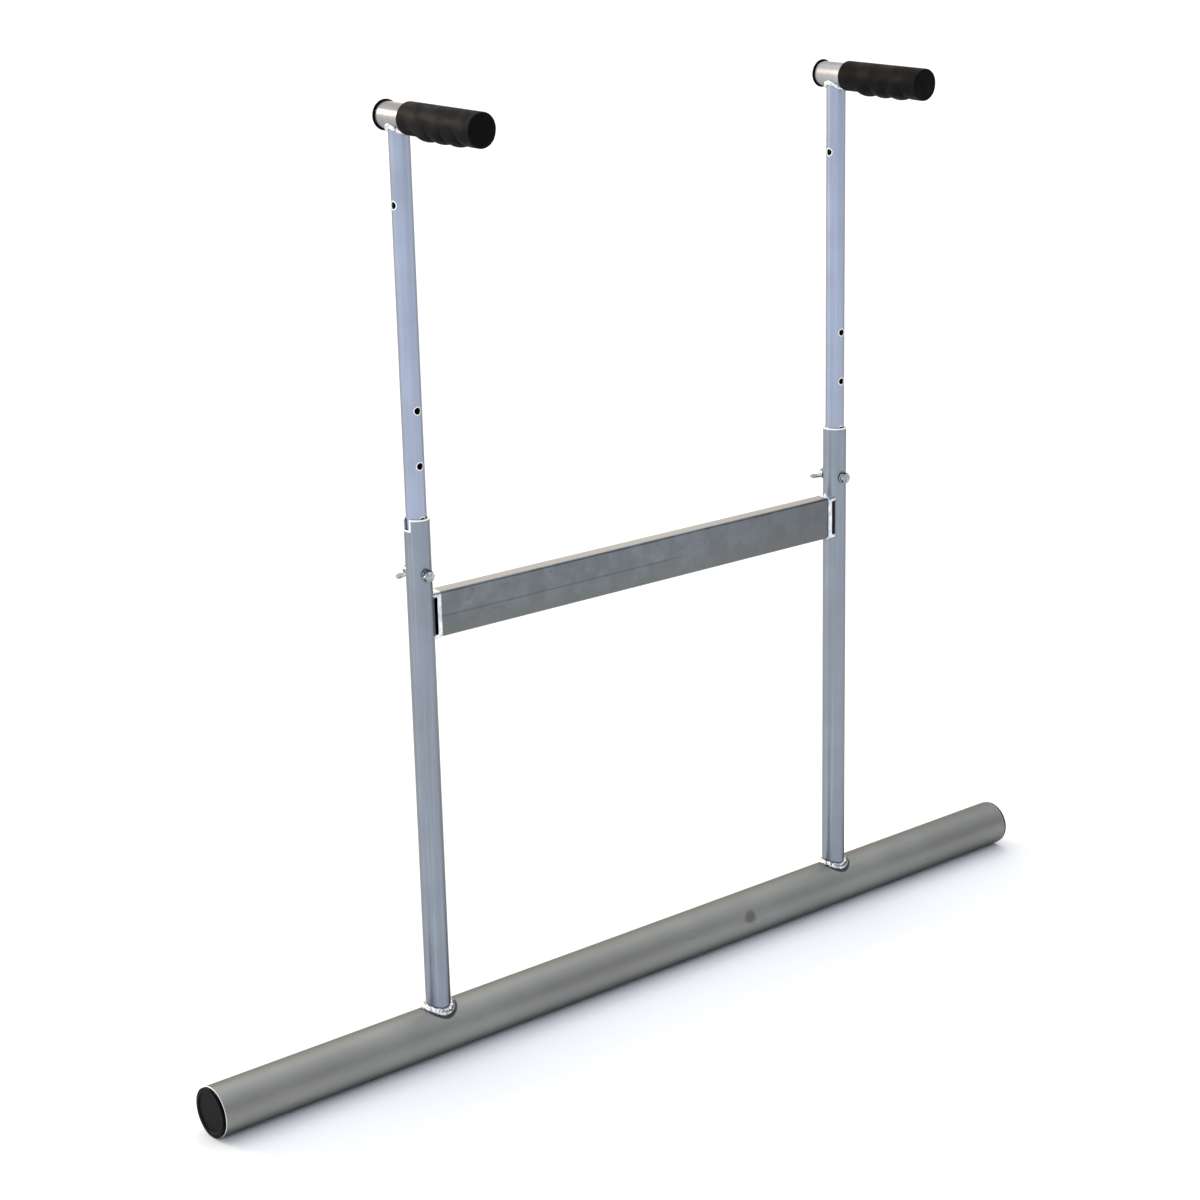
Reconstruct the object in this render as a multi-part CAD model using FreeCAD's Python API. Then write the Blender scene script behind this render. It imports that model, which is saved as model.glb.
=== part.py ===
import FreeCAD, Part
import math
import os

# A welded handle frame. A thick round base tube carries two sleeve posts, tied together by a
# rectangular cross brace. An inner post slides in each sleeve and carries a handle with a moulded
# grip. Millimetres. +X runs along the base tube, +Z runs up the posts and the grips point to -Y.
# The origin is on the floor line under the base tube, midway between the two posts.

# base tube and its end caps
BASE_OUTER_D = 63.5
BASE_WALL = 2.5
BASE_LENGTH = 1366.0
CAP_FLANGE_T = 4.0
CAP_EDGE_SHOWN = 0.5          # ring of cut tube left bare around the cap's flange
CAP_EDGE_ROUND = 1.4
CAP_DISH_MARGIN = 6.5         # flat rim around the cap's shallow dish
CAP_DISH_DEPTH = 1.2
CAP_SLEEVE_LENGTH = 24.0
CAP_SLEEVE_WALL = 2.2
CAP_LEAD_IN = 3.0             # length of the taper that leads the cap's sleeve into the tube
CAP_LEAD_IN_DEPTH = 0.8

# sleeve posts
POST_SPACING = 700.0
SLEEVE_OUTER_D = 31.75
SLEEVE_WALL = 2.5
SLEEVE_TOP_Z = 700.0
SLOT_WIDTH = 10.5             # notch open at the sleeve's top, on its outboard side
SLOT_DEPTH = 13.0
SLOT_CORNER_R = 1.2
CUT_EDGE_BREAK = 0.4          # small chamfer left on cut tube ends

# inner posts
INNER_WALL = 2.1
INNER_BELOW_LOCK = 200.9      # how far the inner post reaches down past the lock screws
HOLE_PITCH = 66.7
HOLE_COUNT = 6
HOLES_ABOVE_LOCK = 3
LOCK_BELOW_TOP = 69.1         # the lock bolt and the wing screw, below the sleeve's top
CROSS_HOLE_D = 8.5
CROSS_HOLE_BELOW_HANDLE = 99.7

# handles and grips
HANDLE_OUTER_D = 31.75
HANDLE_WALL = 2.1
HANDLE_ABOVE_SLEEVE = 471.2   # the handle's axis above the sleeve's top, as stored
HANDLE_REAR = 27.2            # rear end of the handle, cap included, behind the post's axis
HANDLE_FRONT = 160.2          # front end of the grip, ahead of the post's axis
HANDLE_DROOP_DEG = 1.75
HANDLE_CAP_LIP = 2.125        # how far the cap's flange stands out past the tube
HANDLE_CAP_FLANGE_T = 3.0
HANDLE_CAP_SLEEVE = 16.0
HANDLE_CAP_WALL = 1.8
HANDLE_CAP_LEAD_IN = 2.0
HANDLE_CAP_LEAD_IN_DEPTH = 0.6
HANDLE_CAP_EDGE_ROUND = 1.8
GRIP_WALL = 3.275
GRIP_LENGTH = 138.5
GRIP_END_WALL = 4.0
GRIP_END_ROUND = 2.6
GRIP_REAR_ROUND = 1.0
LOBE_DROP = 4.0               # how far the finger lobes stand below the round grip
LOBE_FRONT_DROP = 2.0         # the same at the grip's front end, ahead of the last lobe
LOBE_VALLEY_DROP = 0.3        # the same in the valleys between the lobes
LOBE_NOSE_BACK = 0.3          # the lobes stop this far behind the grip's front face
LOBE_PITCH = 28.0
LOBE_COUNT = 4

# cross brace
BRACE_HEIGHT = 57.0
BRACE_DEPTH = 22.0
BRACE_WALL = 2.0
BRACE_CORNER_R = 2.6
BRACE_BELOW_TOP = 123.5       # the brace's middle, below the sleeves' tops
BRACE_END_GAP = 1.0           # root gap between the brace's end and the sleeve

# weld beads
POST_BEAD = 5.2               # leg of the bead round a sleeve post's foot
HANDLE_BEAD = 3.4             # leg of the bead under a handle
PASS_LEGS = ((1.0, 0.45), (0.75, 0.75), (0.45, 1.0))   # reach and rise of a bead's three passes
BRACE_BEAD_RISE = 1.3         # height of the brace bead above the brace's faces
BRACE_BEAD_LAP = 6.125        # how far the brace bead laps onto the brace
BRACE_BEAD_ROOT = 0.3         # the bead starts this share of the sleeve's radius from the post's axis
BRACE_BEAD_ROUND = 1.0
BRACE_SLOT_WIDTH = 5.0        # open slots in the brace bead's front and back
BRACE_SLOT_LAND = 0.075       # thin land between a slot and the brace's end
BRACE_SLOT_MARGIN = 4.5       # brace bead closed above and below each slot

# screws
THREAD_D = 8.0
THREAD_PITCH = 1.25
STEM_CHAMFER = 0.7
HEX_RIM = 2.5                 # the hex head's flats stand out past the thread by this
HEX_HEIGHT = 4.5
HEX_TOP_CHAMFER = 1.6
WASHER_RING = 3.95            # width of the washer's ring
WASHER_T = 1.2
LOCK_TURNS = 1.0              # turns the lock bolt is shown backed off from fully home
WING_HUB_WALL = 3.5           # metal round the thread at the hub's foot
WING_HUB_TOP_WALL = 2.25      # the same at its top
WING_HUB_HEIGHT = 8.0
WING_SPAN = 32.0
WING_HEIGHT = 16.5
WING_T = 3.0
WING_BOSS_HEIGHT = 10.5       # screw end standing out of the hub
LEFT_WING_DEG = 43.0          # resting angle of each wing screw, below level
RIGHT_WING_DEG = 18.5

# clearances
PLUG_GAP = 0.1                # push-in plugs and pulled-on grips
SLIDE_GAP = 0.675             # inner post in its sleeve, all round
THREAD_GAP = 0.05             # screw in its tapped hole
HOLE_GAP = 0.3                # screw in a lock hole or in its washer
CUT_PAST = 5.0                # how far a cutting tool runs past what it cuts
CONTACT_GAP = 0.1             # screw head to its washer
NOSE_GAP = 0.35               # screw nose to the inner post
STOP_GAP = 0.3                # washer to the sleeve, screwed home

# sizes that follow from the ones above
BASE_R = BASE_OUTER_D / 2
SLEEVE_R = SLEEVE_OUTER_D / 2
INNER_R = SLEEVE_R - SLEEVE_WALL - SLIDE_GAP
HANDLE_R = HANDLE_OUTER_D / 2
GRIP_R = HANDLE_R + PLUG_GAP + GRIP_WALL
POST_X = POST_SPACING / 2
PLUG_BASE_R = BASE_R - BASE_WALL - PLUG_GAP
PLUG_HANDLE_R = HANDLE_R - HANDLE_WALL - PLUG_GAP
LOCK_TRAVEL = LOCK_TURNS * THREAD_PITCH
LOCK_Z = SLEEVE_TOP_Z - LOCK_BELOW_TOP
BRACE_CENTRE_Z = SLEEVE_TOP_Z - BRACE_BELOW_TOP
BRACE_END_X = SLEEVE_R + BRACE_END_GAP
HANDLE_AXIS_Z = SLEEVE_TOP_Z + HANDLE_ABOVE_SLEEVE
CROSS_HOLE_Z = HANDLE_AXIS_Z - CROSS_HOLE_BELOW_HANDLE
INNER_BOTTOM_Z = LOCK_Z - INNER_BELOW_LOCK
STEM_R = THREAD_D / 2
HOLE_R = STEM_R + HOLE_GAP
WASHER_R = HOLE_R + WASHER_RING
HEX_FLAT_R = STEM_R + HEX_RIM
HEX_CORNER_R = HEX_FLAT_R / math.cos(math.radians(30))
HUB_R = STEM_R + WING_HUB_WALL
HUB_TOP_R = STEM_R + WING_HUB_TOP_WALL

UP = FreeCAD.Vector(0, 0, 1)
ACROSS = FreeCAD.Vector(1, 0, 0)
FRONT = FreeCAD.Vector(0, -1, 0)
BACK = FreeCAD.Vector(0, 1, 0)
ORIGIN = FreeCAD.Vector(0, 0, 0)


def point(x, y, z):
    return FreeCAD.Vector(x, y, z)


def bar(radius, start, end):
    """Solid round bar between two points."""
    run = end.sub(start)
    return Part.makeCylinder(radius, run.Length, start, run)


def outline(corners):
    """Closed wire in the XY plane through (x, y, radius) corners, each rounded to its radius."""
    starts = []
    arcs = []
    ends = []
    for index, (x, y, radius) in enumerate(corners):
        here = point(x, y, 0)
        before = corners[index - 1]
        after = corners[(index + 1) % len(corners)]
        back = point(before[0], before[1], 0).sub(here).normalize()
        ahead = point(after[0], after[1], 0).sub(here).normalize()
        half = back.getAngle(ahead) / 2
        middle = back.add(ahead)
        if radius == 0 or middle.Length < 1e-6:
            starts.append(here)
            arcs.append(None)
            ends.append(here)
            continue
        middle.normalize()
        centre = here.add(middle * (radius / math.sin(half)))
        reach = radius / math.tan(half)
        starts.append(here.add(back * reach))
        arcs.append(centre.sub(middle * radius))
        ends.append(here.add(ahead * reach))
    edges = []
    for index in range(len(corners)):
        if arcs[index] is not None:
            edges.append(Part.Arc(starts[index], arcs[index], ends[index]).toShape())
        following = starts[(index + 1) % len(corners)]
        if ends[index].distanceToPoint(following) > 1e-6:
            edges.append(Part.makeLine(ends[index], following))
    return Part.Wire(edges)


def plate(corners, thickness):
    """Flat plate of an outline, from z = 0 up to its thickness."""
    return Part.Face(outline(corners)).extrude(UP * thickness)


def turned(corners):
    """Solid turned about Z from (radius, height, rounding) corners."""
    face = Part.Face(outline(corners))
    face.rotate(ORIGIN, ACROSS, 90)
    return face.revolve(ORIGIN, UP, 360)


def aimed(shape, direction, at):
    """Copy of a shape with its +Z turned to a direction and its origin moved to a point."""
    placed = shape.copy()
    placed.Placement = FreeCAD.Placement(at, FreeCAD.Rotation(UP, direction)).multiply(placed.Placement)
    return placed


def tube_end_to_end(outer_r, wall, length):
    """Tube along +Z from z = 0 with lightly broken edges at both ends."""
    inner_r = outer_r - wall
    edge = CUT_EDGE_BREAK
    return turned([
        (inner_r, edge, 0),
        (inner_r + edge, 0, 0),
        (outer_r - edge, 0, 0),
        (outer_r, edge, 0),
        (outer_r, length - edge, 0),
        (outer_r - edge, length, 0),
        (inner_r + edge, length, 0),
        (inner_r, length - edge, 0),
    ])


def saddle_bead(leg, post_r, post_start, post_end, level_bar, level_r):
    """Weld bead in the corner between a round Z post and a level bar, laid in three passes."""
    bead = None
    for reach, rise in PASS_LEGS:
        post = bar(post_r + leg * reach, post_start, post_end)
        ring = post.common(level_bar(level_r + leg * rise))
        bead = ring if bead is None else bead.fuse(ring)
    return bead.cut(level_bar(level_r)).cut(bar(post_r, post_start, post_end))


def biggest(shape):
    """The largest solid of a shape."""
    return max(shape.Solids, key=lambda solid: solid.Volume)


def base_bar(radius):
    """Solid round bar on the base tube's axis, past both posts."""
    return bar(radius, point(-POST_X, 0, BASE_R), point(POST_X, 0, BASE_R))


def base_tube():
    tube = tube_end_to_end(BASE_R, BASE_WALL, BASE_LENGTH)
    return aimed(tube, ACROSS, point(-BASE_LENGTH / 2, 0, BASE_R))


def base_cap():
    """Push-in end cap, its outer face up at z = 0 and its sleeve pointing down."""
    flange_r = BASE_R - CAP_EDGE_SHOWN
    dish_r = flange_r - CAP_DISH_MARGIN
    sleeve_end = -CAP_FLANGE_T - CAP_SLEEVE_LENGTH
    return turned([
        (0, -CAP_DISH_DEPTH, 0),
        (0, -CAP_FLANGE_T, 0),
        (PLUG_BASE_R - CAP_SLEEVE_WALL, -CAP_FLANGE_T, 0.8),
        (PLUG_BASE_R - CAP_SLEEVE_WALL, sleeve_end, 0),
        (PLUG_BASE_R - CAP_LEAD_IN_DEPTH, sleeve_end, 0),
        (PLUG_BASE_R, sleeve_end + CAP_LEAD_IN, 0),
        (PLUG_BASE_R, -CAP_FLANGE_T, 0),
        (flange_r, -CAP_FLANGE_T, 0.2),
        (flange_r, 0, CAP_EDGE_ROUND),
        (dish_r + CAP_DISH_DEPTH, 0, 0.6),
        (dish_r, -CAP_DISH_DEPTH, 0.6),
    ])


def slot_cutter():
    """Notch cutter at a sleeve's top, cut from the outboard (-X) side."""
    cutter = plate([
        (-SLOT_WIDTH / 2, CUT_PAST, 0),
        (-SLOT_WIDTH / 2, -SLOT_DEPTH, SLOT_CORNER_R),
        (SLOT_WIDTH / 2, -SLOT_DEPTH, SLOT_CORNER_R),
        (SLOT_WIDTH / 2, CUT_PAST, 0),
    ], SLEEVE_R)
    cutter.rotate(ORIGIN, ACROSS, 90)
    cutter.rotate(ORIGIN, UP, -90)
    cutter.translate(point(0, 0, SLEEVE_TOP_Z))
    return cutter


def sleeve_post():
    """Sleeve post at x = 0, coped onto the base tube, with its screw holes and its notch."""
    foot = BASE_R
    tube = aimed(tube_end_to_end(SLEEVE_R, SLEEVE_WALL, SLEEVE_TOP_Z - foot), UP, point(0, 0, foot))
    tube = tube.cut(base_bar(BASE_R))
    reach = SLEEVE_R + CUT_PAST
    tapped = bar(STEM_R + THREAD_GAP, point(0, -reach, LOCK_Z), point(0, reach, LOCK_Z))
    return biggest(tube.cut(tapped).cut(slot_cutter()))


def post_weld():
    """Bead around the saddle where a sleeve post at x = 0 stands on the base tube."""
    foot = point(0, 0, BASE_R)
    return biggest(saddle_bead(POST_BEAD, SLEEVE_R, foot, point(0, 0, SLEEVE_TOP_Z), base_bar, BASE_R))


def box_section(grow):
    """Rounded rectangle of the brace's section, grown outwards by a distance; height runs along Y."""
    half_depth = BRACE_DEPTH / 2 + grow
    half_height = BRACE_HEIGHT / 2 + grow
    rounding = BRACE_CORNER_R + grow
    return [
        (-half_depth, -half_height, rounding),
        (half_depth, -half_height, rounding),
        (half_depth, half_height, rounding),
        (-half_depth, half_height, rounding),
    ]


def along_x(shape, x):
    """Stands a plate's outline up across the X axis, starting at x, at the brace's height."""
    placed = shape.copy()
    placed.rotate(ORIGIN, UP, 90)
    placed.rotate(ORIGIN, BACK, 90)
    placed.rotate(ORIGIN, ACROSS, 180)
    placed.translate(point(x, 0, BRACE_CENTRE_Z))
    return placed


def cross_brace():
    length = POST_SPACING - 2 * BRACE_END_X
    solid = along_x(plate(box_section(0), length), -length / 2)
    hollow = along_x(plate(box_section(-BRACE_WALL), length + 2 * CUT_PAST), -length / 2 - CUT_PAST)
    return solid.cut(hollow)


def brace_weld():
    """Bead closing the brace's left end onto the left sleeve post, with the post at x = 0. The narrow
    gap between the round post and the brace's straight end stays open in front and behind."""
    start = SLEEVE_R * BRACE_BEAD_ROOT
    reach = BRACE_END_X + BRACE_BEAD_LAP
    collar = along_x(plate(box_section(BRACE_BEAD_RISE), reach - start), start)
    rim = []
    for edge in collar.Edges:
        box = edge.BoundBox
        if box.XLength < 1e-3 and box.XMin > reach - 0.01:
            rim.append(edge)
    collar = collar.makeFillet(BRACE_BEAD_ROUND, rim)
    slot_end = BRACE_END_X - BRACE_SLOT_LAND
    slot_start = slot_end - BRACE_SLOT_WIDTH
    half_height = BRACE_HEIGHT / 2 - BRACE_SLOT_MARGIN
    rounding = BRACE_SLOT_WIDTH * 0.49
    slot = plate([
        (slot_start, -half_height, rounding),
        (slot_end, -half_height, rounding),
        (slot_end, half_height, rounding),
        (slot_start, half_height, rounding),
    ], 2 * BRACE_DEPTH)
    slot.rotate(ORIGIN, ACROSS, 90)
    slot.translate(point(0, BRACE_DEPTH, BRACE_CENTRE_Z))
    tip = along_x(plate(box_section(0), reach), BRACE_END_X)
    hollow = along_x(plate(box_section(-BRACE_WALL), reach), 0)
    collar = collar.cut(bar(SLEEVE_R, point(0, 0, 0), point(0, 0, SLEEVE_TOP_Z)))
    return biggest(collar.cut(tip).cut(hollow).cut(slot))


def droop(shape):
    """Turns a handle piece made level into the handle's slight forward droop."""
    shape.rotate(point(0, 0, HANDLE_AXIS_Z), ACROSS, HANDLE_DROOP_DEG)
    return shape


def handle_bar(radius):
    """Solid round bar on the drooped handle axis, long enough to cut any piece that meets it."""
    reach = HANDLE_FRONT + HANDLE_REAR
    return droop(bar(radius, point(0, reach, HANDLE_AXIS_Z), point(0, -reach, HANDLE_AXIS_Z)))


def inner_post():
    """Inner post at x = 0, coped under the handle, with its row of lock holes and its cross hole."""
    top = HANDLE_AXIS_Z
    tube = aimed(tube_end_to_end(INNER_R, INNER_WALL, top - INNER_BOTTOM_Z), UP, point(0, 0, INNER_BOTTOM_Z))
    tube = tube.cut(handle_bar(HANDLE_R))
    reach = INNER_R + CUT_PAST
    for index in range(HOLE_COUNT):
        z = LOCK_Z + (HOLES_ABOVE_LOCK - index) * HOLE_PITCH
        tube = tube.cut(bar(HOLE_R, point(0, -reach, z), point(0, reach, z)))
    across = bar(CROSS_HOLE_D / 2, point(-reach, 0, CROSS_HOLE_Z), point(reach, 0, CROSS_HOLE_Z))
    return biggest(tube.cut(across))


def handle_weld():
    """Bead around the saddle where an inner post at x = 0 meets the underside of its handle."""
    low = point(0, 0, INNER_BOTTOM_Z)
    return biggest(saddle_bead(HANDLE_BEAD, INNER_R, low, point(0, 0, HANDLE_AXIS_Z), handle_bar, HANDLE_R))


def handle_tube():
    rear = HANDLE_REAR - HANDLE_CAP_FLANGE_T
    front = HANDLE_FRONT - GRIP_END_WALL - PLUG_GAP
    tube = tube_end_to_end(HANDLE_R, HANDLE_WALL, rear + front)
    return droop(aimed(tube, FRONT, point(0, rear, HANDLE_AXIS_Z)))


def handle_cap():
    """Push-in cap at the handle's rear end, with a domed flange wider than the tube."""
    flange_r = HANDLE_R + HANDLE_CAP_LIP
    sleeve_end = -HANDLE_CAP_FLANGE_T - HANDLE_CAP_SLEEVE
    cap = turned([
        (0, 0, 0),
        (0, -HANDLE_CAP_FLANGE_T, 0),
        (PLUG_HANDLE_R - HANDLE_CAP_WALL, -HANDLE_CAP_FLANGE_T, 0.6),
        (PLUG_HANDLE_R - HANDLE_CAP_WALL, sleeve_end, 0),
        (PLUG_HANDLE_R - HANDLE_CAP_LEAD_IN_DEPTH, sleeve_end, 0),
        (PLUG_HANDLE_R, sleeve_end + HANDLE_CAP_LEAD_IN, 0),
        (PLUG_HANDLE_R, -HANDLE_CAP_FLANGE_T, 0),
        (flange_r, -HANDLE_CAP_FLANGE_T, 0.5),
        (flange_r, 0, HANDLE_CAP_EDGE_ROUND),
    ])
    return droop(aimed(cap, BACK, point(0, HANDLE_REAR, HANDLE_AXIS_Z)))


def lobe_side_view():
    """Side view of the finger lobes: (distance ahead of the post's axis, height) outline, closed above."""
    first = HANDLE_FRONT - LOBE_COUNT * LOBE_PITCH
    valley = -GRIP_R - LOBE_VALLEY_DROP
    edges = []
    for index in range(LOBE_COUNT - 1):
        begin = first + index * LOBE_PITCH
        middle = point(begin + LOBE_PITCH / 2, -GRIP_R - LOBE_DROP, 0)
        edges.append(Part.Arc(point(begin, valley, 0), middle, point(begin + LOBE_PITCH, valley, 0)).toShape())
    nose = HANDLE_FRONT - LOBE_NOSE_BACK
    low = -GRIP_R - LOBE_FRONT_DROP
    turn_in = point(HANDLE_FRONT - LOBE_PITCH / 2, low, 0)
    flat_end = point(nose - GRIP_END_ROUND, low, 0)
    round_end = point(nose, low + GRIP_END_ROUND, 0)
    corner = GRIP_END_ROUND * (1 - math.sin(math.radians(45)))
    edges.append(Part.makeLine(point(HANDLE_FRONT - LOBE_PITCH, valley, 0), turn_in))
    edges.append(Part.makeLine(turn_in, flat_end))
    edges.append(Part.Arc(flat_end, point(nose - corner, low + corner, 0), round_end).toShape())
    edges.append(Part.makeLine(round_end, point(nose, 0, 0)))
    edges.append(Part.makeLine(point(nose, 0, 0), point(first, 0, 0)))
    edges.append(Part.makeLine(point(first, 0, 0), point(first, valley, 0)))
    return Part.Face(Part.Wire(edges))


def grip():
    """Closed-end grip: round above, with finger lobes standing down along its underside."""
    rear = HANDLE_FRONT - GRIP_LENGTH
    body = turned([
        (0, 0, 0),
        (GRIP_R, 0, GRIP_REAR_ROUND),
        (GRIP_R, GRIP_LENGTH, GRIP_END_ROUND),
        (0, GRIP_LENGTH, 0),
    ])
    body = aimed(body, FRONT, point(0, -rear, HANDLE_AXIS_Z))
    side = lobe_side_view().extrude(UP * 2 * GRIP_R)
    side.translate(point(0, 0, -GRIP_R))
    side.rotate(ORIGIN, ACROSS, 90)
    side.rotate(ORIGIN, UP, -90)
    side.translate(point(0, 0, HANDLE_AXIS_Z))
    low_z = HANDLE_AXIS_Z - LOBE_DROP
    lobes = side.common(bar(GRIP_R, point(0, -rear, low_z), point(0, -HANDLE_FRONT, low_z)))
    body = body.fuse(lobes).removeSplitter()
    bore_end = point(0, -HANDLE_FRONT + GRIP_END_WALL, HANDLE_AXIS_Z)
    bore = bar(HANDLE_R + PLUG_GAP, point(0, -rear + CUT_PAST, HANDLE_AXIS_Z), bore_end)
    return droop(biggest(body.cut(bore)))


def hexagon(corner_r):
    """Hexagon corners with two flats level."""
    corners = []
    for step in range(6):
        turn = math.radians(60 * step)
        corners.append((corner_r * math.cos(turn), corner_r * math.sin(turn), 0))
    return corners


def screw_stem(length):
    """Plain stem of a screw, pointing down from z = 0."""
    return turned([
        (0, 0, 0),
        (0, -length, 0),
        (STEM_R - STEM_CHAMFER, -length, 0),
        (STEM_R, -length + STEM_CHAMFER, 0),
        (STEM_R, 0, 0),
    ])


def lock_bolt():
    """Hex bolt in the sleeve's front wall, at x = 0, shown backed off by its turns."""
    seat = SLEEVE_R + STOP_GAP + LOCK_TRAVEL + WASHER_T + CONTACT_GAP
    stem = seat - INNER_R - NOSE_GAP
    head = plate(hexagon(HEX_CORNER_R), HEX_HEIGHT)
    dome = turned([
        (0, 0, 0),
        (HEX_CORNER_R + 1, 0, 0),
        (HEX_CORNER_R + 1, HEX_HEIGHT - HEX_TOP_CHAMFER, 0),
        (HEX_FLAT_R - 0.4, HEX_HEIGHT, 0),
        (0, HEX_HEIGHT, 0),
    ])
    bolt = head.common(dome).fuse(screw_stem(stem)).removeSplitter()
    return aimed(bolt, FRONT, point(0, -seat, LOCK_Z))


def washer():
    """Flat washer with softened outer edges, from z = 0 up."""
    return turned([
        (HOLE_R, 0, 0),
        (WASHER_R, 0, 0.3),
        (WASHER_R, WASHER_T, 0.5),
        (HOLE_R, WASHER_T, 0),
    ])


def lock_washer():
    return aimed(washer(), FRONT, point(0, -SLEEVE_R - STOP_GAP - LOCK_TRAVEL, LOCK_Z))


def wing_washer():
    return aimed(washer(), BACK, point(0, SLEEVE_R + STOP_GAP, LOCK_Z))


def wing_screw(angle):
    """Wing screw in the sleeve's back wall, at x = 0, its wings turned by an angle below level."""
    seat = SLEEVE_R + STOP_GAP + WASHER_T + CONTACT_GAP
    hub = turned([
        (0, 0, 0),
        (HUB_R, 0, 0.8),
        (HUB_TOP_R, WING_HUB_HEIGHT, 0.8),
        (0, WING_HUB_HEIGHT, 0),
    ])
    half = WING_SPAN / 2
    blade = plate([
        (HUB_TOP_R - 3.0, 1.2, 0),
        (HUB_R + 0.6, 1.2, 2.0),
        (half - 1.0, 10.5, 5.0),
        (half, WING_HEIGHT, 2.6),
        (half - 6.5, WING_HEIGHT, 2.6),
        (HUB_TOP_R + 0.4, WING_HUB_HEIGHT - 1.2, 2.4),
        (HUB_TOP_R - 3.0, WING_HUB_HEIGHT - 1.2, 0),
    ], WING_T)
    blade.translate(point(0, 0, -WING_T / 2))
    blade.rotate(ORIGIN, ACROSS, 90)
    other = blade.copy()
    other.rotate(ORIGIN, UP, 180)
    boss = bar(STEM_R, point(0, 0, WING_HUB_HEIGHT / 2), point(0, 0, WING_BOSS_HEIGHT))
    stem = screw_stem(seat - INNER_R - NOSE_GAP)
    screw = hub.fuse(blade).fuse(other).fuse(boss).fuse(stem).removeSplitter()
    screw = aimed(screw, BACK, point(0, seat, LOCK_Z))
    screw.rotate(point(0, 0, LOCK_Z), BACK, -angle)
    return biggest(screw)


def at_x(shape, x):
    placed = shape.copy()
    placed.translate(point(x, 0, 0))
    return placed


def mirrored(shape):
    return shape.mirror(ORIGIN, ACROSS)


def pieces():
    """Every named piece of the frame, in place."""
    found = {"base_tube": base_tube(), "cross_brace": cross_brace()}
    cap = base_cap()
    cap_x = BASE_LENGTH / 2 + CAP_FLANGE_T
    found["base_cap_left"] = aimed(cap, ACROSS * -1, point(-cap_x, 0, BASE_R))
    found["base_cap_right"] = aimed(cap, ACROSS, point(cap_x, 0, BASE_R))
    bead = brace_weld()
    found["brace_weld_left"] = at_x(bead, -POST_X)
    found["brace_weld_right"] = mirrored(found["brace_weld_left"])
    sleeve = sleeve_post()
    found["outer_post_left"] = at_x(sleeve, -POST_X)
    found["outer_post_right"] = mirrored(found["outer_post_left"])
    both_sides = {
        "post_weld": post_weld(),
        "inner_post": inner_post(),
        "handle_weld": handle_weld(),
        "handle_tube": handle_tube(),
        "handle_cap": handle_cap(),
        "grip": grip(),
        "lock_bolt": lock_bolt(),
        "lock_washer": lock_washer(),
        "wing_washer": wing_washer(),
    }
    for name, shape in both_sides.items():
        found[name + "_left"] = at_x(shape, -POST_X)
        found[name + "_right"] = at_x(shape, POST_X)
    found["wing_screw_left"] = at_x(wing_screw(LEFT_WING_DEG), -POST_X)
    found["wing_screw_right"] = at_x(wing_screw(RIGHT_WING_DEG), POST_X)
    return found


os.makedirs("parts", exist_ok=True)
for node, solid in pieces().items():
    solid.exportStep("parts/" + node + ".step")
    box = solid.BoundBox
    print(node, solid.ShapeType, len(solid.Solids), solid.isValid(), round(solid.Volume),
          [round(v, 2) for v in (box.XMin, box.XMax, box.YMin, box.YMax, box.ZMin, box.ZMax)])
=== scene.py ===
import math

import bmesh
import bpy
import mathutils


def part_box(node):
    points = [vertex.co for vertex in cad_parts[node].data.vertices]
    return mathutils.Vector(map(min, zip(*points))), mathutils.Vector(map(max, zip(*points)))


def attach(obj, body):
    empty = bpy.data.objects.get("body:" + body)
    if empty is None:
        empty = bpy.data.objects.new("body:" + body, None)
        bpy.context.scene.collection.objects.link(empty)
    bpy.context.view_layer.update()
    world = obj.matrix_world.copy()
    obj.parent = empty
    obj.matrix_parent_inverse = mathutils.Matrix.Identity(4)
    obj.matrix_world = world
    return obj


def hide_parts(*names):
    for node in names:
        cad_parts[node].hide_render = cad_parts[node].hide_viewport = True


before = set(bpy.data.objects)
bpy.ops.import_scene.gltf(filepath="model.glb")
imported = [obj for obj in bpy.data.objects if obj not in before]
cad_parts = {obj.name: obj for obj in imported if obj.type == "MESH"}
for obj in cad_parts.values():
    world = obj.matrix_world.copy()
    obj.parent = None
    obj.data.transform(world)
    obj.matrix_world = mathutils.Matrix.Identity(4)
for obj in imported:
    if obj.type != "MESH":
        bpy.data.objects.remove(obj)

Vector = mathutils.Vector
Matrix = mathutils.Matrix

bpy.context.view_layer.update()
SIDES = ("left", "right")
MM = 0.001


# ---------------------------------------------------------------- colours and nodes

def srgb(code):
    """Linear colour of an sRGB hex value."""
    parts = [int(code[i:i + 2], 16) / 255 for i in (1, 3, 5)]
    linear = [p / 12.92 if p <= 0.04045 else ((p + 0.055) / 1.055) ** 2.4 for p in parts]
    return (*linear, 1.0)


def add(tree, kind, settings=None, inputs=None):
    """Adds a node with its settings; an input is a plain value or the socket it is linked from."""
    made = tree.nodes.new(kind)
    for name, value in (settings or {}).items():
        setattr(made, name, value)
    for key, value in (inputs or {}).items():
        if isinstance(value, bpy.types.NodeSocket):
            tree.links.new(value, made.inputs[key])
        else:
            made.inputs[key].default_value = value
    return made


def calc(tree, operation, first, second=0.0, third=0.0):
    """Result of one arithmetic step on sockets or numbers."""
    kind = "ShaderNodeMath"
    return add(tree, kind, {"operation": operation}, {0: first, 1: second, 2: third}).outputs[0]


def ramp(tree, value, low, high, low_to=0.0, high_to=1.0):
    """Smooth step of a value between two limits, onto a range."""
    settings = {"interpolation_type": "SMOOTHSTEP"}
    inputs = {0: value, 1: low, 2: high, 3: low_to, 4: high_to}
    return add(tree, "ShaderNodeMapRange", settings, inputs).outputs[0]


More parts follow.
